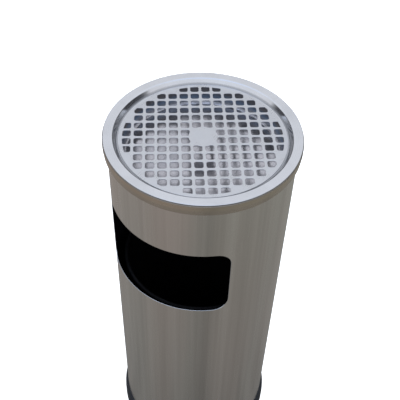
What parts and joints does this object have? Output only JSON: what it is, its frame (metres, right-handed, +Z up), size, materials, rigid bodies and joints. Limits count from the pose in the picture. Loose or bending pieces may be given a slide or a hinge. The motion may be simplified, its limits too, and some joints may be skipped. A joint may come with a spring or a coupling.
{
  "type": "litter bin",
  "caption": "Free-standing round steel litter bin with a side opening, a lift-off ash tray under a perforated grille, a base ring and an inner bucket with a bail handle.",
  "frame": {"origin": "centre of the flat underside that the bin stands on", "axes": "+Z up along the bin's axis; the side opening faces -Y"},
  "size_m": [0.25, 0.25, 0.61],
  "materials": {
    "brushed_steel": "vertically brushed stainless steel",
    "satin_steel": "satin stainless steel",
    "polished_steel": "polished stainless steel",
    "black_plastic": "moulded black plastic",
    "black_paint": "satin black paint on steel sheet",
    "zinc_steel": "zinc-plated steel"
  },
  "bodies": {
    "bin_body": {"outer_shell": "brushed_steel", "top_collar": "satin_steel", "base_ring": "black_plastic", "base_plate": "zinc_steel", "base_screws": "zinc_steel"},
    "tray": {"ash_tray": "polished_steel"},
    "grille": {"ash_grille": "satin_steel"},
    "bucket": {"bucket_wall": "black_paint", "bucket_rim_wire": "zinc_steel", "bucket_floor": "black_paint", "bucket_ear_right": "black_paint", "bucket_ear_left": "black_paint", "ear_rivets": "zinc_steel"},
    "bail": {"bail_wire": "zinc_steel", "bail_grip": "black_plastic"}
  },
  "joints": [
    {"name": "tray_lift", "type": "slide", "parent": "bin_body", "child": "tray", "axis": [0, 0, 1], "range_m": [0, 0.76]},
    {"name": "grille_lift", "type": "slide", "parent": "tray", "child": "grille", "axis": [0, 0, 1], "range_m": [0, 0.06]},
    {"name": "bucket_lift", "type": "slide", "parent": "bin_body", "child": "bucket", "axis": [0, 0, 1], "range_m": [0, 0.65]},
    {"name": "bail_swing", "type": "hinge", "parent": "bucket", "child": "bail", "pos_m": [0, 0, 0.3945], "axis": [1, 0, 0], "range_deg": [0, 180]}
  ],
  "couplings": [
    {"joint": "bucket_lift", "follows": "tray_lift", "ratio": 0.85}
  ]
}
